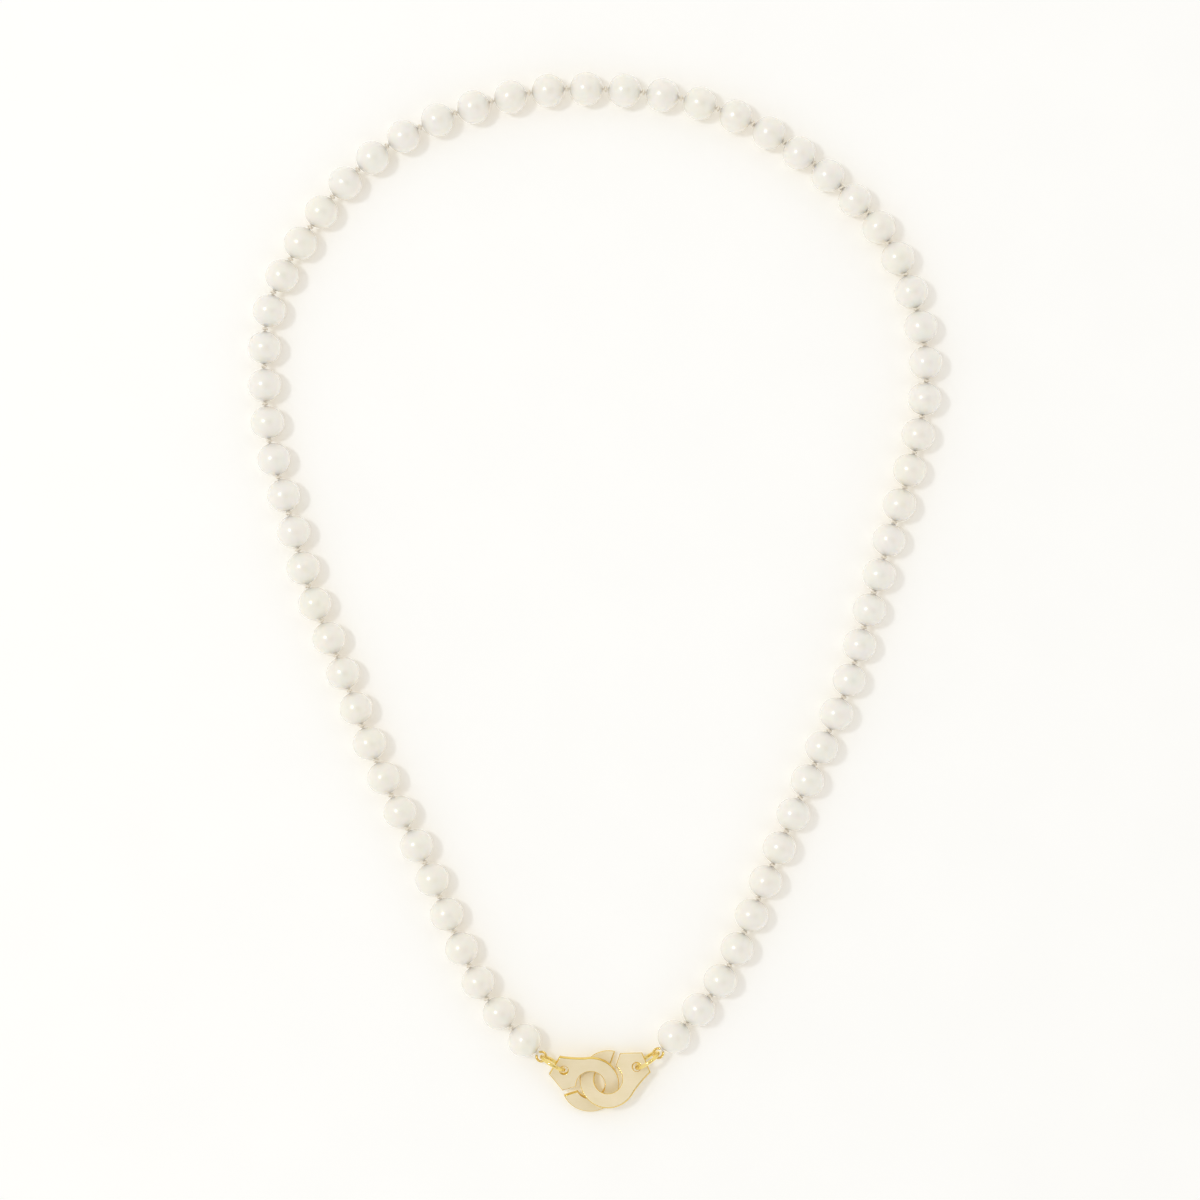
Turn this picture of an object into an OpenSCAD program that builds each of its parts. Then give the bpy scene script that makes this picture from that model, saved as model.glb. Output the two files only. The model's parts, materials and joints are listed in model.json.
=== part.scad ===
// Hand-knotted pearl necklace with two interlocking hook plates as its clasp.
// It lies closed on a flat surface, z = 0, with the clasp towards -Y.

/* [Strand] */
// Number of pearls on the strand
pearl_count = 66; // [54:1:84]
// Diameter of one pearl
pearl_d = 5.75; // [4.8:0.05:7.2]
// Diameter of the hole drilled through a pearl
bore_d = 0.7; // [0.55:0.05:0.85]
// Space between two pearls, which a knot takes up
knot_gap = 0.7; // [0.55:0.01:1]

/* [Silk] */
// Diameter of the silk thread
silk_d = 0.44; // [0.3:0.01:0.52]
// Diameter of a knot
knot_d = 1.15; // [0.9:0.05:1.4]
// Thickness of a knot along the thread
knot_t = 0.46; // [0.3:0.01:0.5]

/* [French wire loops] */
// Diameter of the coiled wire that covers the end of the silk
gimp_d = 0.55; // [0.45:0.01:0.7]
// Width of the opening in the loop, where the jump ring passes
gimp_opening = 1.15; // [1:0.05:1.6]

/* [Jump rings] */
// Diameter of a jump ring, at the middle of its wire
ring_d = 4.5; // [4:0.1:5.6]
// Diameter of the jump ring's wire
ring_wire_d = 0.65; // [0.5:0.01:0.75]
// Width of the seam where the ring was closed
ring_seam = 0.06; // [0.02:0.01:0.2]

/* [Clasp plates] */
// Outer radius of a plate's hooked end
plate_r = 5.0; // [4.2:0.1:6]
// Radius of the round opening in a plate
plate_bore_r = 2.5; // [2.1:0.1:3]
// Thickness of a plate
plate_t = 0.85; // [0.6:0.05:1.05]
// Width of the slit that the other plate slides through
slit_w = 1.0; // [0.9:0.05:1.4]
// Distance from the round opening to the far corners of the plate's tab
tab_reach = 7.5; // [7:0.1:9]
// Diameter of the hole for the jump ring
tab_hole_d = 1.45; // [1.2:0.05:1.6]
// Metal left between the jump ring's hole and the end of the tab
tab_rim = 1.1; // [0.9:0.05:1.4]
// Clearance between the two plates where they cross
link_clearance = 0.14; // [0.1:0.01:0.3]
// Play of one plate in the other along the necklace
link_slack = 0.5; // [0.3:0.05:0.8]

/* [Hidden] */
$fn = 48;
ROWS = 24;           // pairs of pearls, left and right, that fold one after the other
ROW_NUMBERS = ["01", "02", "03", "04", "05", "06", "07", "08", "09", "10", "11", "12",
    "13", "14", "15", "16", "17", "18", "19", "20", "21", "22", "23", "24"];

LEFT = -1;
RIGHT = 1;
pitch = pearl_d + knot_gap;
strand_z = pearl_d / 2;
strand_length = pearl_count * pitch;
thread_gap = 0.06;   // between a knot and the thread that turns about it
cut_short = knot_t / 2 + thread_gap;   // where the silk ends before a neighbour's knot
cut_inside = knot_t / 4;               // where it ends within its own knot
gimp_r = (gimp_opening + gimp_d) / 2;
gimp_core_d = gimp_d - 0.25;
gimp_mouth = 44;     // degrees left open towards the pearl
seat_gap = 0.03;     // between a loop and the pearl that it meets
end_reach = 0.2;     // how far the silk runs past the last pearl's gap, into its loop

// The tab of a plate, in degrees from its middle line
tab_near = -13.7;
tab_far = 15;
slit_turn = 48.5;
flare_sag = 0.2;
tab_end = tab_reach * cos(tab_far);
tab_hole_x = tab_end - tab_rim - tab_hole_d / 2;

// How the two plates lie in each other
link_heading = 15.4;
link_offset = (plate_r + plate_bore_r) / 2 - link_slack;
link_window = sqrt(pow(plate_bore_r, 2) - pow(link_offset / 2, 2));
link_tilt = asin((plate_t + link_clearance) / (2 * link_window));
link_pitch = 1.5;
clasp_pitch = 3.5;   // the right-hand ring lifts its plate, and the pair leans with it
plate_low = plate_r * sin(link_tilt) + plate_t / 2 * cos(link_tilt);
clasp_middle = [1.1, -85.2, plate_low + 0.14];

function tab_heading(side) = side == LEFT ? 133.3 : 8.5;
function ring_heading(side) = side == LEFT ? 149.8 : 34.1;
function ring_lean(side) = side == LEFT ? 2 : 6;
function strand_heading(side) = side == LEFT ? 140 : 43;

function turn_x(p, a) = [p.x, p.y * cos(a) - p.z * sin(a), p.y * sin(a) + p.z * cos(a)];
function turn_y(p, a) = [p.x * cos(a) + p.z * sin(a), p.y, p.z * cos(a) - p.x * sin(a)];
function turn_z(p, a) = [p.x * cos(a) - p.y * sin(a), p.x * sin(a) + p.y * cos(a), p.z];

// A point of a plate, given from the middle of its round opening, where the plate lies
function plate_point(side, p) =
    let (flat = turn_z(p, tab_heading(side)) + [side * link_offset / 2, 0, 0])
    let (tilted = turn_y(turn_x(flat, -side * link_tilt), -side * link_pitch - clasp_pitch))
    clasp_middle + turn_z(tilted, link_heading);

// Where a jump ring passes through its plate and through its loop of French wire
function tab_hole(side) = plate_point(side, [tab_hole_x, 0, 0]);
function ring_rise(side) = strand_z - tab_hole(side).z;
function ring_run(side) = sqrt(pow(ring_d, 2) - pow(ring_rise(side), 2));
function gimp_middle(side) =
    tab_hole(side) + turn_z([ring_run(side), 0, ring_rise(side)], ring_heading(side));
function strand_end(side) =
    let (reach = gimp_r + gimp_d / 2 + seat_gap - knot_gap / 2)
    gimp_middle(side) + turn_z([reach, 0, 0], strand_heading(side));

// The strand's route as it lies, from the clasp up the left side and down the right
route = [
    [-9.5, -80], [-18, -71], [-24, -59], [-29, -47], [-35, -35], [-40, -23], [-44, -12],
    [-49, 0], [-53, 15], [-56, 26], [-57, 39], [-56, 50], [-51, 60], [-43, 71], [-33, 79],
    [-21, 84], [-8, 87], [5, 87], [18, 85], [30, 80], [41, 72], [50, 63], [55, 53],
    [58, 39], [56, 25], [52, 11], [48, -3], [44, -17], [38, -31], [33, -43], [28, -55],
    [22, -68], [12, -79.5]];
// Share of all the knots' length that is used up by a share of the pearls: the knots are
// looser on the left and in the front, and tighter on the right
knot_spread = [[0, 0], [0.42, 0.46], [0.56, 0.64], [1, 1]];
steps = 10;          // straight pieces between two points of the route
last = len(route) - 1;

function mix(a, b, w) = a + (b - a) * w;
function flat(p) = [p.x, p.y];

// The route grown or shrunk about the line between its ends, which stay at the clasp
function grown(s) = [for (i = [0:last])
    let (w = i / last)
    mix(flat(strand_end(LEFT)), flat(strand_end(RIGHT)), w)
        + s * (route[i] - mix(route[0], route[last], w))];

function curve(p, i, t) =
    let (a = i == 0 ? 2 * p[0] - p[1] : p[i - 1])
    let (b = p[i])
    let (c = p[i + 1])
    let (d = i + 2 > last ? 2 * p[last] - p[last - 1] : p[i + 2])
    (2 * b + (c - a) * t + (2 * a - 5 * b + 4 * c - d) * t * t
        + (3 * b - a - 3 * c + d) * t * t * t) / 2;
function drawn(p) = [for (i = [0:last * steps])
    i == last * steps ? p[last] : curve(p, floor(i / steps), i % steps / steps)];
function travelled(p) = [for (i = 0, run = 0; i < len(p);
    run = run + (i + 1 < len(p) ? norm(p[i + 1] - p[i]) : 0), i = i + 1) run];
function curve_length(s) = travelled(drawn(grown(s)))[last * steps];
function fitted(s, turns) =
    turns == 0 ? s : fitted(s * strand_length / curve_length(s), turns - 1);

line = drawn(grown(fitted(1, 3)));
runs = travelled(line);
run_to_x = [for (i = [0:len(line) - 1]) [runs[i], line[i].x]];
run_to_y = [for (i = [0:len(line) - 1]) [runs[i], line[i].y]];

// Knot 0 is at the left end, and pearl n lies between knots n and n + 1
function knot_at(n) =
    let (gaps = pearl_count * knot_gap * lookup(n / pearl_count, knot_spread))
    let (run = n * pearl_d + gaps)
    [lookup(run, run_to_x), lookup(run, run_to_y), strand_z];
function pearl_heading(n) =
    let (d = knot_at(n + 1) - knot_at(n))
    atan2(d.y, d.x);
function pearl_span(n) = norm(knot_at(n + 1) - knot_at(n));

// Along a pearl's bore, with the pearl's middle at the origin and +Z to its next knot
module in_pearl(n) {
    translate((knot_at(n) + knot_at(n + 1)) / 2)
        rotate([0, 0, pearl_heading(n)])
            rotate([0, 90, 0])
                children();
}

module pearl(n) {
    in_pearl(n)
        difference() {
            sphere(d = pearl_d);
            cylinder(d = bore_d, h = pearl_d + 1, center = true);
        }
}

module pearls(first, final) {
    for (n = [first:final])
        color([0.95, 0.92, 0.86]) pearl(n);
}

// A round-edged disc of wound silk, square to the mean run of the silk through it
module knot(n) {
    translate(knot_at(n))
        rotate([0, 0, (pearl_heading(n - 1) + pearl_heading(n)) / 2])
            rotate([0, 90, 0])
                rotate_extrude()
                    union() {
                        translate([(knot_d - knot_t) / 2, 0]) circle(d = knot_t);
                        translate([0, -knot_t / 2]) square([(knot_d - knot_t) / 2, knot_t]);
                    }
}

// The silk inside pearl n, less a length at each end of the run from knot to knot
module thread(n, trim_before, trim_after) {
    in_pearl(n)
        translate([0, 0, trim_before - pearl_span(n) / 2])
            cylinder(d = silk_d, h = pearl_span(n) - trim_before - trim_after);
}

// The silk's last turn, inside the loop of French wire
module end_loop(side) {
    translate(gimp_middle(side))
        rotate_extrude()
            translate([gimp_r, 0]) circle(d = gimp_core_d - 0.04);
}

module silk_pair(row) {
    own_end = row == 1 ? -end_reach : cut_inside;
    color([0.96, 0.93, 0.86]) union() {
        thread(row - 1, own_end, cut_short);
        if (row == 1) end_loop(LEFT);
        else knot(row - 1);
    }
    color([0.96, 0.93, 0.86]) union() {
        thread(pearl_count - row, cut_short, own_end);
        if (row == 1) end_loop(RIGHT);
        else knot(pearl_count - row + 1);
    }
}

module front_silk() {
    color([0.96, 0.93, 0.86]) union() {
        for (n = [ROWS:pearl_count - ROWS - 1])
            thread(n, cut_inside, cut_inside);
        for (n = [ROWS:pearl_count - ROWS])
            knot(n);
    }
}

module gimp(side) {
    color([0.85, 0.68, 0.35])
        translate(gimp_middle(side))
            rotate([0, 0, strand_heading(side) + gimp_mouth / 2])
                rotate_extrude(angle = 360 - gimp_mouth)
                    translate([gimp_r, 0])
                        difference() {
                            circle(d = gimp_d);
                            circle(d = gimp_core_d);
                        }
}

module jump_ring(side) {
    seam_turn = ring_seam / ring_d * 360 / PI;
    color([0.87, 0.72, 0.4])
        translate((tab_hole(side) + gimp_middle(side)) / 2)
            rotate([0, 0, ring_heading(side)])
                rotate([0, -atan2(ring_rise(side), ring_run(side)), 0])
                    rotate([90 + side * ring_lean(side), 0, 0])
                        rotate([0, 0, 62])
                            rotate_extrude(angle = 360 - seam_turn)
                                translate([ring_d / 2, 0]) circle(d = ring_wire_d);
}

// Points on a shallow arc from a to b that bows towards the left of its run
function bow(a, b, sag, count) = [for (i = [0:count])
    let (w = i / count)
    let (side = [a.y - b.y, b.x - a.x] / norm(b - a))
    mix(a, b, w) + side * sag * 4 * w * (1 - w)];
function polar(r, a) = [r * cos(a), r * sin(a)];

module plate_outline() {
    tangent = tab_near - acos(plate_r / tab_reach);
    difference() {
        union() {
            circle(r = plate_r, $fn = 96);
            polygon(concat(
                [[0, 0]],
                bow(polar(plate_r, tangent), polar(tab_reach, tab_near), flare_sag, 8),
                [polar(tab_reach, tab_far), polar(plate_r - 0.1, slit_turn - 4)]));
        }
        circle(r = plate_bore_r, $fn = 64);
        translate([tab_hole_x, 0]) circle(d = tab_hole_d);
        rotate(slit_turn) translate([0, -slit_w / 2]) square([plate_r + 1, slit_w]);
    }
}

module clasp_plate(side) {
    color([0.91, 0.84, 0.66])
        translate(clasp_middle)
            rotate([0, 0, link_heading])
                rotate([0, -side * link_pitch - clasp_pitch, 0])
                    rotate([-side * link_tilt, 0, 0])
                        translate([side * link_offset / 2, 0, -plate_t / 2])
                            rotate([0, 0, tab_heading(side)])
                                linear_extrude(plate_t) plate_outline();
}

front_middle = floor(pearl_count / 2);

for (row = [1:ROWS])
    union() {
        pearls(row - 1, row - 1);
        pearls(pearl_count - row, pearl_count - row);
    }
for (row = [1:ROWS])
    silk_pair(row);
pearls(ROWS, front_middle - 1);  // front_pearls_left
pearls(front_middle, pearl_count - ROWS - 1);  // front_pearls_right
front_silk();
gimp(LEFT);  // gimp_left
gimp(RIGHT);  // gimp_right
jump_ring(LEFT);  // jump_ring_left
jump_ring(RIGHT);  // jump_ring_right
clasp_plate(LEFT);  // clasp_plate_left
clasp_plate(RIGHT);  // clasp_plate_right
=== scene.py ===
"""Looks of the hand-knotted pearl necklace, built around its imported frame.

Every place comes from the frame: the pearls' middles from their CAD spheres, the knots from
the CAD silk, and the clasp from its joints and plates. Lengths are in metres.
"""

import json
import math
import random

import bmesh
import bpy
import numpy as np
from mathutils import Matrix, Vector, noise


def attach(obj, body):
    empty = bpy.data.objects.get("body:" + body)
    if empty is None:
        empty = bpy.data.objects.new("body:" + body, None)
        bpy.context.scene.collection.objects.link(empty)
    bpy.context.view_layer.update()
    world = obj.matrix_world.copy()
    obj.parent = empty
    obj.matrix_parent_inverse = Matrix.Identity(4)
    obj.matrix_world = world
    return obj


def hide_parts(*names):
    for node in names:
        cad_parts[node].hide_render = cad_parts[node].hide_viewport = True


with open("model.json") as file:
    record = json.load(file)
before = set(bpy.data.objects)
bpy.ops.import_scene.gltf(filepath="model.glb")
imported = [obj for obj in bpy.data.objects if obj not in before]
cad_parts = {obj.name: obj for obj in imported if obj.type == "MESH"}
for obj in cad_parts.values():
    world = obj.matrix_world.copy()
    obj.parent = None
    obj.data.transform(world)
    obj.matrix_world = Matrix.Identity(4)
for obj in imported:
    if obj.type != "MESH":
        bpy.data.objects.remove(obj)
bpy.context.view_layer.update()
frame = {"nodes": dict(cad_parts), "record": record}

MM = 0.001
TURN = 2 * math.pi
ROWS = 24
JOINTS = {joint["name"]: joint for joint in frame["record"]["behaviour"]["joints"]}


# ---------------------------------------------------------------- reading the frame

def node_points(name):
    """A node's vertices at rest, and its edges between vertices that share a place."""
    node = frame["nodes"][name]
    world = np.array(node.matrix_world)
    mesh = node.data
    points = np.empty(len(mesh.vertices) * 3)
    mesh.vertices.foreach_get("co", points)
    points = points.reshape(-1, 3) @ world[:3, :3].T + world[:3, 3]
    edges = np.empty(len(mesh.edges) * 2, dtype=int)
    mesh.edges.foreach_get("vertices", edges)
    places, index = np.unique(np.round(points, 8), axis=0, return_inverse=True)
    return places, index.reshape(-1)[edges].reshape(-1, 2)


def solids_of(name):
    """The points of each separate solid of a node, from low x to high x."""
    points, edges = node_points(name)
    label = np.arange(len(points))
    while True:
        low = np.minimum(label[edges[:, 0]], label[edges[:, 1]])
        new = label.copy()
        np.minimum.at(new, edges[:, 0], low)
        np.minimum.at(new, edges[:, 1], low)
        new = new[new]
        if (new == label).all():
            break
        label = new
    groups = [points[label == mark] for mark in np.unique(label)]
    return sorted(groups, key=lambda group: group[:, 0].mean())


def middle(points):
    return (points.min(axis=0) + points.max(axis=0)) / 2


def row_name(row):
    return f"{row:02d}"


def read_pearls():
    """(middle, CAD node, body) of each pearl, from the left of the clasp round to the right."""
    left, right = [], []
    for row in range(1, ROWS + 1):
        node = f"pearl_pair_{row_name(row)}"
        pair = solids_of(node)
        body = f"row_{row_name(row)}"
        left.append((middle(pair[0]), node, body))
        right.append((middle(pair[1]), node, body))
    front = []
    for node in ("front_pearls_left", "front_pearls_right"):
        front += [(middle(solid), node, "front") for solid in solids_of(node)]
    return left + front + right[::-1]


def read_knots(middles):
    """Knot n lies between pearls n - 1 and n. The ends are mirrored from the end pearls."""
    count = len(middles)
    silk = {}
    places = [None] * (count + 1)
    for n in range(1, count):
        if n < ROWS:
            owner = f"silk_pair_{row_name(n + 1)}"
        elif n > count - ROWS:
            owner = f"silk_pair_{row_name(count + 1 - n)}"
        else:
            owner = "front_silk"
        if owner not in silk:
            silk[owner] = node_points(owner)[0]
        guess = (middles[n - 1] + middles[n]) / 2
        near = np.linalg.norm(silk[owner] - guess, axis=1) < KNOT_REACH
        places[n] = middle(silk[owner][near])
    places[0] = 2 * middles[0] - places[1]
    places[count] = 2 * middles[count - 1] - places[count - 1]
    return places


KNOT_REACH = 0.95 * MM    # how far a knot's own points lie from its middle, at most

PEARLS = read_pearls()
COUNT = len(PEARLS)
PEARL_R = float(np.ptp(solids_of("pearl_pair_01")[0][:, 2])) / 2
KNOTS = read_knots([pearl[0] for pearl in PEARLS])

BORE_R = 0.35 * MM    # of a pearl's drill hole
SILK_R = 0.21 * MM    # of the thread


# ---------------------------------------------------------------- meshes

def new_object(name, mesh):
    thing = bpy.data.objects.new(name, mesh)
    bpy.context.scene.collection.objects.link(thing)
    return thing


def mesh_from(name, points, faces, smooth=True):
    mesh = bpy.data.meshes.new(name)
    mesh.from_pydata([tuple(p) for p in points], [], faces)
    mesh.polygons.foreach_set("use_smooth", [smooth] * len(mesh.polygons))
    mesh.update()
    return mesh


def add_piece(name, mesh, materials, body, replaced=None):
    """A visible piece: its mesh and materials, the body that it rides on and the CAD node whose
    place it takes."""
    piece = new_object(name, mesh)
    for material in materials:
        piece.data.materials.append(material)
    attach(piece, body)
    if replaced:
        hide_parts(replaced)


def basis(along, up=Vector((0, 0, 1))):
    """A rotation whose Z lies along a direction, with X as level as it can be."""
    z = Vector(along).normalized()
    x = up.cross(z)
    if x.length < 1e-6:
        x = Vector((1, 0, 0))
    x.normalize()
    return Matrix((x, z.cross(x), z)).transposed()


def tube(path, radius, sides, closed=False, ply=0.0, turns_per_length=0.0):
    """Points and faces of a tube along a path. ply makes two strands of it."""
    count = len(path)
    path = [Vector(p) for p in path]
    tangents = []
    for i in range(count):
        if closed:
            tangents.append((path[(i + 1) % count] - path[i - 1]).normalized())
        else:
            tangents.append((path[min(i + 1, count - 1)] - path[max(i - 1, 0)]).normalized())
    normal = tangents[0].orthogonal().normalized()
    normals = [normal]
    for i in range(1, count):
        turn = tangents[i - 1].rotation_difference(tangents[i])
        normal = (turn @ normal).normalized()
        normals.append(normal)
    drift = 0.0
    if closed:
        back = tangents[-1].rotation_difference(tangents[0]) @ normals[-1]
        drift = math.atan2(tangents[0].dot(back.cross(normals[0])), back.dot(normals[0]))
    points = []
    run = 0.0
    for i in range(count):
        if i:
            run += (path[i] - path[i - 1]).length
        side = tangents[i].cross(normals[i])
        twist = run * turns_per_length * TURN + drift * i / count
        for k in range(sides):
            angle = TURN * k / sides
            wide = radius * (1 - ply + ply * abs(math.cos(angle)))
            spot = angle + twist
            points.append(path[i] + wide * (math.cos(spot) * normals[i] + math.sin(spot) * side))
    faces = []
    for i in range(count if closed else count - 1):
        j = (i + 1) % count
        for k in range(sides):
            m = (k + 1) % sides
            faces.append((i * sides + k, i * sides + m, j * sides + m, j * sides + k))
    if not closed:
        faces.append(tuple(range(sides - 1, -1, -1)))
        faces.append(tuple((count - 1) * sides + k for k in range(sides)))
    return points, faces


def joined(name, parts):
    """One mesh from several (points, faces)."""
    points, faces = [], []
    for part_points, part_faces in parts:
        start = len(points)
        points += part_points
        faces += [tuple(start + i for i in face) for face in part_faces]
    return mesh_from(name, points, faces)


# ---------------------------------------------------------------- pearls

PEARL_SIDES = 56
PEARL_RINGS = 34
OBLATE = 0.012        # flatter along the bore, wider across it
LUMP = 0.009          # slow unevenness of the surface, as a share of the radius
RIPPLE = 0.0012       # finer unevenness
BEVEL = 0.03 * MM     # of the drill hole's rim
PEARL_SEED = 700


def pearl_profile():
    """(radius, height, outer) round the section of a drilled pearl, from rim to rim and back."""
    rim = math.asin((BORE_R + 0.035 * MM) / PEARL_R)
    outer = []
    for i in range(PEARL_RINGS + 1):
        angle = rim + (math.pi - 2 * rim) * i / PEARL_RINGS
        outer.append((PEARL_R * math.sin(angle), PEARL_R * math.cos(angle), True))
    top = outer[0][1]
    inner = [(BORE_R + 0.008 * MM, -top + 0.3 * BEVEL, False), (BORE_R, -top + BEVEL, False),
             (BORE_R, 0, False), (BORE_R, top - BEVEL, False),
             (BORE_R + 0.008 * MM, top - 0.3 * BEVEL, False)]
    return outer + inner


PROFILE = pearl_profile()


def pearl_shape(draw):
    """The points of one pearl about its middle, with its bore along Z."""
    offset = Vector((draw.uniform(-40, 40), draw.uniform(-40, 40), draw.uniform(-40, 40)))
    flat = OBLATE * draw.uniform(0.6, 1.5)
    size = draw.uniform(0.992, 1.006)
    points = []
    for radius, height, outer in PROFILE:
        for k in range(PEARL_SIDES):
            angle = TURN * k / PEARL_SIDES
            spot = Vector((radius * math.cos(angle), radius * math.sin(angle), height))
            if outer:
                way = spot.normalized()
                grow = size + LUMP * noise.noise(way * 1.1 + offset)
                grow += RIPPLE * noise.noise(way * 4.5 + offset)
                grow += flat * (1 - 3 * way.z * way.z) / 2
                spot *= grow
            points.append(spot)
    return points


def pearl_faces():
    rings = len(PROFILE)
    return [(i * PEARL_SIDES + k, ((i + 1) % rings) * PEARL_SIDES + k,
             ((i + 1) % rings) * PEARL_SIDES + (k + 1) % PEARL_SIDES,
             i * PEARL_SIDES + (k + 1) % PEARL_SIDES)
            for i in range(rings) for k in range(PEARL_SIDES)]


def make_pearls(material):
    faces = pearl_faces()
    for n, (centre, node, body) in enumerate(PEARLS):
        draw = random.Random(PEARL_SEED + n)
        turn = basis(KNOTS[n + 1] - KNOTS[n])
        spin = Matrix.Rotation(draw.uniform(0, TURN), 3, "Z")
        place = Vector(centre)
        points = [place + turn @ (spin @ p) for p in pearl_shape(draw)]
        name = f"pearl_{n + 1:02d}"
        add_piece(name, mesh_from(name, points, faces), [material], body, node)


# ---------------------------------------------------------------- silk

YARN_R = 0.155 * MM
PLY_TURNS = 900.0     # turns of the two plies in a metre of knotted yarn
KNOT_POINTS = 66
KNOT_WIDE = 0.285 * MM     # of the two turns that a knot takes round the strand
KNOT_SWING = 0.135 * MM    # how far the yarn weaves in and out
KNOT_RISE = 0.095 * MM     # how far it weaves along the strand
ROW_SEED = 40
FRONT_SEED = 99


def knot_path(centre, along, draw):
    """A pulled-tight overhand knot: the silk goes twice round the strand and through itself."""
    turn = basis(along)
    start = draw.uniform(0, TURN)
    wide = KNOT_WIDE * draw.uniform(0.97, 1.08)
    path = []
    for i in range(KNOT_POINTS):
        t = TURN * i / KNOT_POINTS
        reach = wide + KNOT_SWING * math.cos(3 * t)
        spot = Vector((reach * math.cos(2 * t + start), reach * math.sin(2 * t + start),
                       KNOT_RISE * math.sin(3 * t)))
        path.append(Vector(centre) + turn @ spot)
    return path


def knot_part(n, draw):
    before = KNOTS[n] - KNOTS[n - 1]
    after = KNOTS[n + 1] - KNOTS[n]
    along = before / np.linalg.norm(before) + after / np.linalg.norm(after)
    return tube(knot_path(KNOTS[n], along, draw), YARN_R, 10, closed=True, ply=0.12,
                turns_per_length=PLY_TURNS)


def thread_part(a, b, rings=24):
    a, b = Vector(a), Vector(b)
    return tube([a.lerp(b, i / rings) for i in range(rings + 1)], SILK_R, 12, ply=0.25,
                turns_per_length=PLY_TURNS * 0.6)


def make_silk(material):
    """Each body's silk: the thread through its pearls, and the knots that the CAD gives it."""
    for row in range(1, ROWS + 1):
        draw = random.Random(ROW_SEED + row)
        last = COUNT - row
        parts = [thread_part(KNOTS[row - 1], KNOTS[row]), thread_part(KNOTS[last], KNOTS[last + 1])]
        if row > 1:
            parts += [knot_part(row - 1, draw), knot_part(last + 1, draw)]
        name = f"silk_row_{row_name(row)}"
        add_piece(name, joined(name, parts), [material], f"row_{row_name(row)}",
                  f"silk_pair_{row_name(row)}")
    draw = random.Random(FRONT_SEED)
    parts = [thread_part(KNOTS[n], KNOTS[n + 1]) for n in range(ROWS, COUNT - ROWS)]
    parts += [knot_part(n, draw) for n in range(ROWS, COUNT - ROWS + 1)]
    add_piece("silk_front", joined("silk_front", parts), [material], "front",
              "front_silk")


# ---------------------------------------------------------------- jump rings and French wire

RING_STEPS = 160
RING_SIDES = 22
SEAM = 0.007          # half the angle of a ring's seam, in radians
SEAM_AT = {"left": 1.9, "right": 1.2}    # where the seam is, in radians from the pearls' side
GIMP_COILS = 38
COIL_STEPS = 14
GIMP_SIDES = 8
GIMP_WIRE = 0.06 * MM
GIMP_FINE = 0.84      # the coil's radius, as a share of the CAD loop's
GIMP_MOUTH = math.radians(44)
CORE_POINTS = 40


def ring_facts(side):
    """Middle, direction towards the pearls, radius and wire radius of a jump ring."""
    joint = JOINTS[f"ring_{side}_turn"]
    centre = np.array(joint["pos_m"])
    reach = np.linalg.norm(node_points(f"jump_ring_{side}")[0] - centre, axis=1)
    return (Vector(centre), Vector(joint["axis"]).normalized(),
            float(reach.max() + reach.min()) / 2, float(reach.max() - reach.min()) / 2)


def make_ring(side, material):
    """A ring of round wire, with a hairline seam where its ends meet."""
    centre, along, radius, wire = ring_facts(side)
    points = node_points(f"jump_ring_{side}")[0] - np.array(centre)
    normal = Vector(np.linalg.eigh(points.T @ points)[1][:, 0])
    across = normal.cross(along).normalized()
    if across.z < 0:
        across = -across
    path = []
    for i in range(RING_STEPS + 1):
        angle = SEAM_AT[side] + SEAM + (TURN - 2 * SEAM) * i / RING_STEPS
        path.append(centre + radius * (math.cos(angle) * along + math.sin(angle) * across))
    points, faces = tube(path, wire, RING_SIDES)
    for end, inward in ((0, 1), (RING_STEPS, -1)):
        for k in range(RING_SIDES):
            at, beside = end * RING_SIDES + k, (end + inward) * RING_SIDES + k
            spot = points[at]
            points[at] = path[end] + (spot - path[end]) * 0.88
            points[beside] = spot.lerp(points[beside], 0.35)
    name = f"ring_{side}_wire"
    add_piece(name, mesh_from(name, points, faces), [material], f"ring_{side}",
              f"jump_ring_{side}")


def make_gimp(side, wire_material, silk_material):
    """A fine wire coiled round the silk's last turn, open where it meets its pearl, and the
    silk inside it."""
    centre, along, radius, _ = ring_facts(side)
    middle_of = centre + along * radius
    knot = Vector(KNOTS[0] if side == "left" else KNOTS[COUNT])
    level = node_points(f"gimp_{side}")[0] - np.array(middle_of)
    reach = np.hypot(level[:, 0], level[:, 1])
    loop_r = float(reach.max() + reach.min()) / 2
    coil_r = GIMP_FINE * float(reach.max() - reach.min()) / 2
    toward = math.atan2(knot.y - middle_of.y, knot.x - middle_of.x)
    path = []
    for i in range(GIMP_COILS * COIL_STEPS + 1):
        part = i / (GIMP_COILS * COIL_STEPS)
        around = toward + GIMP_MOUTH / 2 + (TURN - GIMP_MOUTH) * part
        turn = TURN * GIMP_COILS * part
        out = loop_r + (coil_r - GIMP_WIRE) * math.cos(turn)
        path.append(middle_of + Vector((out * math.cos(around), out * math.sin(around),
                                        (coil_r - GIMP_WIRE) * math.sin(turn))))
    points, faces = tube(path, GIMP_WIRE, GIMP_SIDES)
    core = []
    for i in range(CORE_POINTS):
        around = toward + TURN * i / CORE_POINTS
        core.append(middle_of + loop_r * Vector((math.cos(around), math.sin(around), 0)))
    name = f"french_wire_{side}"
    add_piece(name, mesh_from(name, points, faces), [wire_material], "row_01",
              f"gimp_{side}")
    inner = tube(core, coil_r - 2.2 * GIMP_WIRE, GIMP_SIDES, closed=True)
    name = f"silk_end_{side}"
    add_piece(name, joined(name, [inner]), [silk_material], "row_01")


# ---------------------------------------------------------------- clasp plates

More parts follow.
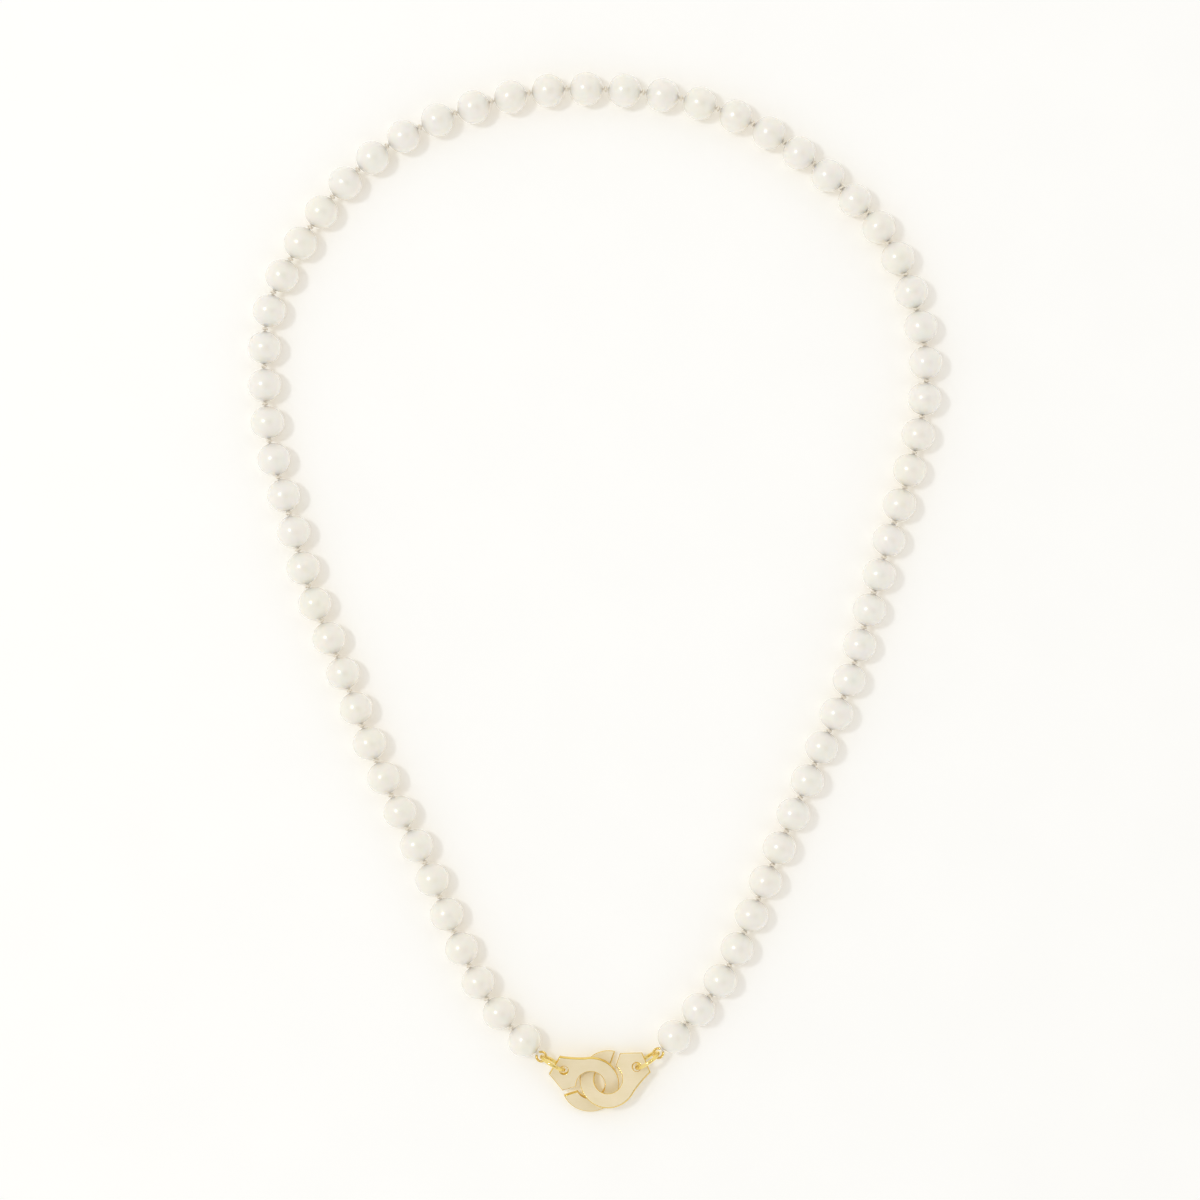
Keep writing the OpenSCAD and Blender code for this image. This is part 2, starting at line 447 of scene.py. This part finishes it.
EDGE = 0.13 * MM      # rounding of a plate's polished edges
EDGE_STEPS = 4
SHORTEST = 0.03 * MM  # step between two points of an outline
FACING = 0.999        # cosine within which a face belongs to the flat of a plate


def plate_facts(name):
    """A plate's face outlines, as loops of points in its middle plane, its normal and half its
    thickness."""
    node = frame["nodes"][name]
    work = bmesh.new()
    work.from_mesh(node.data)
    work.transform(node.matrix_world)
    bmesh.ops.remove_doubles(work, verts=work.verts, dist=1e-7)
    work.normal_update()
    up = Vector(max(work.faces, key=lambda face: face.calc_area()).normal)
    if up.z < 0:
        up = -up
    heights = [v.co.dot(up) for v in work.verts]
    top, low = max(heights), min(heights)
    face_set = [f for f in work.faces if f.normal.dot(up) > FACING]
    rim = {}
    for face in face_set:
        for loop in face.loops:
            other = [f for f in loop.edge.link_faces if f is not face]
            if not other or other[0].normal.dot(up) < FACING:
                rim[loop.vert.index] = loop.link_loop_next.vert
    loops = []
    work.verts.ensure_lookup_table()
    while rim:
        first = next(iter(rim))
        at, loop = first, []
        while at in rim:
            loop.append(work.verts[at].co - up * (top - low) / 2)
            at = rim.pop(at).index
        loops.append(loop)
    work.free()
    return loops, up, (top - low) / 2


def refine(loop, corner=math.radians(24)):
    """Twice the points, on smooth arcs between the corners."""
    count = len(loop)
    sharp = []
    for i in range(count):
        a = (loop[i] - loop[i - 1]).normalized()
        b = (loop[(i + 1) % count] - loop[i]).normalized()
        sharp.append(a.angle(b) > corner)
    out = []
    for i in range(count):
        p, q = loop[i], loop[(i + 1) % count]
        o, r = loop[i - 1], loop[(i + 2) % count]
        out.append(p)
        near = (q - p).length
        before = not sharp[i] and (p - o).length < 3 * near
        after = not sharp[(i + 1) % count] and (r - q).length < 3 * near
        mid = (p + q) / 2
        if before and after:
            mid = (9 * (p + q) - o - r) / 16
        out.append(mid)
    return out


def offset_loop(loop, up, amount):
    """The loop moved to its left by an amount, with its corners mitred."""
    count = len(loop)
    out = []
    for i in range(count):
        a = (loop[i] - loop[i - 1]).normalized()
        b = (loop[(i + 1) % count] - loop[i]).normalized()
        left_a, left_b = up.cross(a), up.cross(b)
        mitre = (left_a + left_b).normalized()
        stretch = 1 / max(mitre.dot(left_a), 0.4)
        out.append(loop[i] + mitre * amount * stretch)
    return out


def spaced(loop, shortest):
    """The loop without points that crowd closer than the shortest step."""
    kept = []
    for p in loop:
        if not kept or (p - kept[-1]).length > shortest:
            kept.append(p)
    if (kept[0] - kept[-1]).length < shortest:
        kept.pop()
    return kept


def make_plate(side, face_material, painted_shade_edge_material):
    """A flat hook plate with satin faces and a polished, rounded edge, whose gold is painted darker
    and deeper as painted shade and painted reflection.
    """
    node = f"clasp_plate_{side}"
    loops, up, half = plate_facts(node)
    build = bmesh.new()
    rims = {1: [], -1: []}
    for loop in loops:
        loop = spaced(refine(refine(loop)), SHORTEST)
        levels = []
        for i in range(EDGE_STEPS + 1):
            angle = math.pi / 2 * i / EDGE_STEPS
            levels.append((EDGE * (1 - math.sin(angle)), half - EDGE * (1 - math.cos(angle))))
        profile = levels + [(inset, -height) for inset, height in reversed(levels)]
        rings = []
        for inset, height in profile:
            moved = offset_loop(loop, up, inset)
            rings.append([build.verts.new(p + up * height) for p in moved])
        count = len(loop)
        for low, high in zip(rings[1:], rings[:-1]):
            for k in range(count):
                m = (k + 1) % count
                face = build.faces.new((low[k], low[m], high[m], high[k]))
                # The side walls take the edge gold, which is painted darker as shade.
                face.material_index = 1
                face.smooth = True
        rims[1].append(rings[0])
        rims[-1].append(rings[-1])
    build.normal_update()
    for sign, rings in rims.items():
        edges = []
        for ring in rings:
            for k in range(len(ring)):
                edges.append(build.edges.get((ring[k], ring[(k + 1) % len(ring)])))
        made = bmesh.ops.triangle_fill(build, use_beauty=True, use_dissolve=False, edges=edges,
                                       normal=up * sign)
        for face in made["geom"]:
            if isinstance(face, bmesh.types.BMFace):
                face.material_index = 0
                face.smooth = False
    bmesh.ops.recalc_face_normals(build, faces=build.faces)
    mesh = bpy.data.meshes.new(f"plate_{side}")
    build.to_mesh(mesh)
    build.free()
    add_piece(f"hook_plate_{side}", mesh, [face_material, painted_shade_edge_material], f"clasp_{side}",
              node)


# ---------------------------------------------------------------- materials

class Nodes:
    """A material's node tree, with short ways to add and link nodes."""

    def __init__(self, name):
        self.material = bpy.data.materials.new(name)
        self.material.use_nodes = True
        self.tree = self.material.node_tree
        self.shader = self.tree.nodes["Principled BSDF"]

    def add(self, kind, **values):
        node = self.tree.nodes.new(kind)
        for key, value in values.items():
            setattr(node, key, value)
        return node

    def link(self, a, out, b, into):
        self.tree.links.new(a.outputs[out], b.inputs[into])

    def set(self, **values):
        for key, value in values.items():
            self.shader.inputs[key.replace("_", " ")].default_value = value

    def place(self, stretch=(1, 1, 1)):
        """Object coordinates, stretched along each axis."""
        where = self.add("ShaderNodeTexCoord")
        mapping = self.add("ShaderNodeMapping")
        mapping.inputs["Scale"].default_value = stretch
        self.link(where, "Object", mapping, "Vector")
        return mapping

    def noise(self, scale, detail=2.0, rough=0.5, stretch=(1, 1, 1)):
        field = self.add("ShaderNodeTexNoise")
        field.inputs["Scale"].default_value = scale
        field.inputs["Detail"].default_value = detail
        field.inputs["Roughness"].default_value = rough
        self.link(self.place(stretch), "Vector", field, "Vector")
        return field

    def ramp(self, source, out, stops):
        ramp = self.add("ShaderNodeValToRGB")
        ramp.color_ramp.elements.remove(ramp.color_ramp.elements[1])
        for i, (where, colour) in enumerate(stops):
            stop = ramp.color_ramp.elements[0] if i == 0 else ramp.color_ramp.elements.new(where)
            stop.position = where
            stop.color = (*colour, 1)
        self.link(source, out, ramp, "Fac")
        return ramp

    def multiply(self, a, b):
        """The product of two nodes' colours, as output 2 of the node that it returns."""
        product = self.add("ShaderNodeMix", data_type="RGBA", blend_type="MULTIPLY")
        product.inputs[0].default_value = 1.0
        self.link(a, "Color", product, 6)
        self.link(b, "Color", product, 7)
        return product

    def range(self, source, out, low, high, from_low=0.0, from_high=1.0):
        span = self.add("ShaderNodeMapRange")
        for key, value in (("From Min", from_low), ("From Max", from_high), ("To Min", low),
                           ("To Max", high)):
            span.inputs[key].default_value = value
        self.link(source, out, span, "Value")
        return span

    def bump(self, source, out, depth, strength=1.0, below=None):
        bump = self.add("ShaderNodeBump")
        bump.inputs["Distance"].default_value = depth
        bump.inputs["Strength"].default_value = strength
        self.link(source, out, bump, "Height")
        if below:
            self.link(below, "Normal", bump, "Normal")
        return bump


def nacre():
    """Cream nacre: rose and green overtones that drift over each pearl, under a soft lustre."""
    n = Nodes("nacre")
    overtone = n.noise(260, detail=2.5)
    tone = n.ramp(overtone, "Fac", [
        (0.30, (0.885, 0.85, 0.735)), (0.44, (0.91, 0.85, 0.74)),
        (0.56, (0.92, 0.83, 0.75)), (0.70, (0.895, 0.855, 0.74))])
    drift = n.noise(34, detail=0.0)
    shade = n.ramp(drift, "Fac", [(0.35, (1.0, 0.985, 0.955)), (0.65, (0.985, 0.985, 0.985))])
    n.link(n.multiply(tone, shade), 2, n.shader, "Base Color")
    cloud = n.noise(900, detail=3.0)
    gloss = n.range(cloud, "Fac", 0.31, 0.41)
    n.link(gloss, "Result", n.shader, "Roughness")
    grain = n.noise(5200, detail=4.0, rough=0.6)
    dimple = n.noise(1300, detail=1.0)
    fine = n.bump(grain, "Fac", 0.004 * MM, 0.5)
    soft = n.bump(dimple, "Fac", 0.012 * MM, 0.5, below=fine)
    n.link(soft, "Normal", n.shader, "Normal")
    n.set(IOR=1.66, Subsurface_Weight=1.0, Subsurface_Radius=(1.0, 0.9, 0.75),
          Subsurface_Scale=5 * MM, Coat_Weight=1.0, Coat_Roughness=0.22, Coat_IOR=1.75)
    return n.material


def silk():
    """Matt cream silk, twisted from two plies."""
    n = Nodes("twisted_silk")
    fibre = n.noise(9000, detail=3.0, rough=0.7, stretch=(1, 1, 0.4))
    tone = n.ramp(fibre, "Fac", [(0.3, (0.93, 0.86, 0.70)), (0.7, (0.98, 0.94, 0.84))])
    n.link(tone, "Color", n.shader, "Base Color")
    rough = n.range(fibre, "Fac", 0.55, 0.8)
    n.link(rough, "Result", n.shader, "Roughness")
    hair = n.bump(fibre, "Fac", 0.03 * MM, 0.8)
    n.link(hair, "Normal", n.shader, "Normal")
    n.set(Sheen_Weight=0.4, Sheen_Roughness=0.4, Sheen_Tint=(1.0, 0.97, 0.9, 1))
    return n.material


def gold(name, light, deep, rough_low, rough_high, grain_depth, stretch=(1, 1, 1), grain=4200):
    """Yellow gold, with fine marks that set how matt it looks."""
    n = Nodes(name)
    marks = n.noise(grain, detail=4.0, rough=0.65, stretch=stretch)
    cloud = n.noise(420, detail=2.0)
    tone = n.ramp(cloud, "Fac", [(0.3, deep), (0.7, light)])
    n.link(tone, "Color", n.shader, "Base Color")
    rough = n.range(marks, "Fac", rough_low, rough_high, 0.3, 0.7)
    n.link(rough, "Result", n.shader, "Roughness")
    scratch = n.bump(marks, "Fac", grain_depth, 0.7)
    n.link(scratch, "Normal", n.shader, "Normal")
    n.set(Metallic=1.0)
    return n.material


# ---------------------------------------------------------------- studio

CAMERA_HEIGHT = 0.575
SENSOR = 36.0           # width, in millimetres
VIEW_WIDTH = 0.2084     # of the plane through the pearls' middles
VIEW_CENTRE = (0.0012, -0.0014)
TENT_GAP = (26, -10, 6, 24)      # zenith, azimuth, dark out to, bright from, in degrees
TENT_GAP_COLOUR = (0.20, 0.13, 0.10, 1)
TENT_STRENGTH = 0.91
FLOOR_HALF = 2.5


def make_camera():
    data = bpy.data.cameras.new("camera")
    data.sensor_width = SENSOR
    data.lens = SENSOR * (CAMERA_HEIGHT - PEARL_R) / VIEW_WIDTH
    camera = new_object("camera", data)
    camera.location = (*VIEW_CENTRE, CAMERA_HEIGHT)
    bpy.context.scene.camera = camera


def make_light(name, zenith, azimuth, distance, size, power, colour):
    """A square soft box aimed at the middle of the floor."""
    data = bpy.data.lights.new(name, "AREA")
    data.size = size
    data.energy = power
    data.color = colour
    light = new_object(name, data)
    zenith, azimuth = math.radians(zenith), math.radians(azimuth)
    way = Vector((math.sin(zenith) * math.cos(azimuth), math.sin(zenith) * math.sin(azimuth),
                  math.cos(zenith)))
    light.location = way * distance
    light.rotation_euler = way.to_track_quat("Z", "Y").to_euler()


def make_world():
    """A white tent, a little dimmer overhead, with the soft dark patch of its opening."""
    world = bpy.data.worlds.new("tent")
    bpy.context.scene.world = world
    world.use_nodes = True
    tree = world.node_tree
    where = tree.nodes.new("ShaderNodeTexCoord")
    split = tree.nodes.new("ShaderNodeSeparateXYZ")
    ramp = tree.nodes.new("ShaderNodeValToRGB")
    ramp.color_ramp.elements[0].position = 0.0
    ramp.color_ramp.elements[0].color = (0.98, 0.985, 1.0, 1)
    ramp.color_ramp.elements[1].position = 1.0
    ramp.color_ramp.elements[1].color = (0.80, 0.80, 0.81, 1)
    shoulder = ramp.color_ramp.elements.new(0.72)
    shoulder.color = (0.96, 0.96, 0.97, 1)
    tree.links.new(where.outputs["Generated"], split.inputs[0])
    tree.links.new(split.outputs["Z"], ramp.inputs["Fac"])
    facing = tree.nodes.new("ShaderNodeVectorMath")
    facing.operation = "DOT_PRODUCT"
    zenith, azimuth = math.radians(TENT_GAP[0]), math.radians(TENT_GAP[1])
    facing.inputs[1].default_value = (math.sin(zenith) * math.cos(azimuth),
                                      math.sin(zenith) * math.sin(azimuth), math.cos(zenith))
    tree.links.new(where.outputs["Generated"], facing.inputs[0])
    inside = tree.nodes.new("ShaderNodeMapRange")
    inside.interpolation_type = "SMOOTHSTEP"
    inside.inputs["From Min"].default_value = math.cos(math.radians(TENT_GAP[3]))
    inside.inputs["From Max"].default_value = math.cos(math.radians(TENT_GAP[2]))
    tree.links.new(facing.outputs["Value"], inside.inputs["Value"])
    blend = tree.nodes.new("ShaderNodeMix")
    blend.data_type = "RGBA"
    blend.inputs[7].default_value = TENT_GAP_COLOUR
    tree.links.new(inside.outputs["Result"], blend.inputs[0])
    tree.links.new(ramp.outputs["Color"], blend.inputs[6])
    tree.links.new(blend.outputs[2], tree.nodes["Background"].inputs["Color"])
    tree.nodes["Background"].inputs["Strength"].default_value = TENT_STRENGTH


def make_floor():
    """A white light table: it glows warmly, so that shadows on it stay pale."""
    corners = [(x * FLOOR_HALF, y * FLOOR_HALF, 0) for x, y in ((-1, -1), (1, -1), (1, 1), (-1, 1))]
    mesh = mesh_from("floor", corners, [(0, 1, 2, 3)], smooth=False)
    floor = new_object("floor", mesh)
    n = Nodes("light_table")
    fleck = n.noise(60, detail=2.0)
    tone = n.ramp(fleck, "Fac", [(0.3, (0.87, 0.92, 0.97)), (0.7, (0.88, 0.93, 0.98))])
    n.link(tone, "Color", n.shader, "Base Color")
    n.set(Roughness=0.9, Specular_IOR_Level=0.05, Emission_Color=(0.17, 0.12, 0.04, 1),
          Emission_Strength=1.0)
    floor.data.materials.append(n.material)


make_camera()
make_world()
make_floor()
make_light("key", zenith=27, azimuth=160, distance=1.3, size=0.15, power=2.9,
           colour=(1.0, 0.99, 0.97))
bpy.context.scene.view_settings.view_transform = "Standard"

make_pearls(nacre())
thread_silk = silk()
make_silk(thread_silk)
ring_gold = gold("ring_gold", (0.97, 0.79, 0.32), (0.88, 0.67, 0.20), 0.04, 0.10, 0.002 * MM)
wire_gold = gold("wire_gold", (0.96, 0.77, 0.31), (0.86, 0.64, 0.19), 0.10, 0.20, 0.002 * MM)
face_gold = gold("plate_face", (0.945, 0.875, 0.705), (0.925, 0.855, 0.665), 0.86, 0.95, 0.003 * MM,
                 stretch=(1, 14, 1), grain=900)
# Painted shade and painted reflection: the plate edges' gold is darker and deeper than the faces'
# and rings' gold of the same metal. It stands in for shade and for the gold walls reflecting each
# other.
edge_gold_painted_shade = gold("plate_edge_painted_shade", (0.93, 0.70, 0.20), (0.80, 0.55, 0.11), 0.05, 0.12, 0.002 * MM)
for side in ("left", "right"):
    make_gimp(side, wire_gold, thread_silk)
    make_ring(side, ring_gold)
    make_plate(side, face_gold, edge_gold_painted_shade)
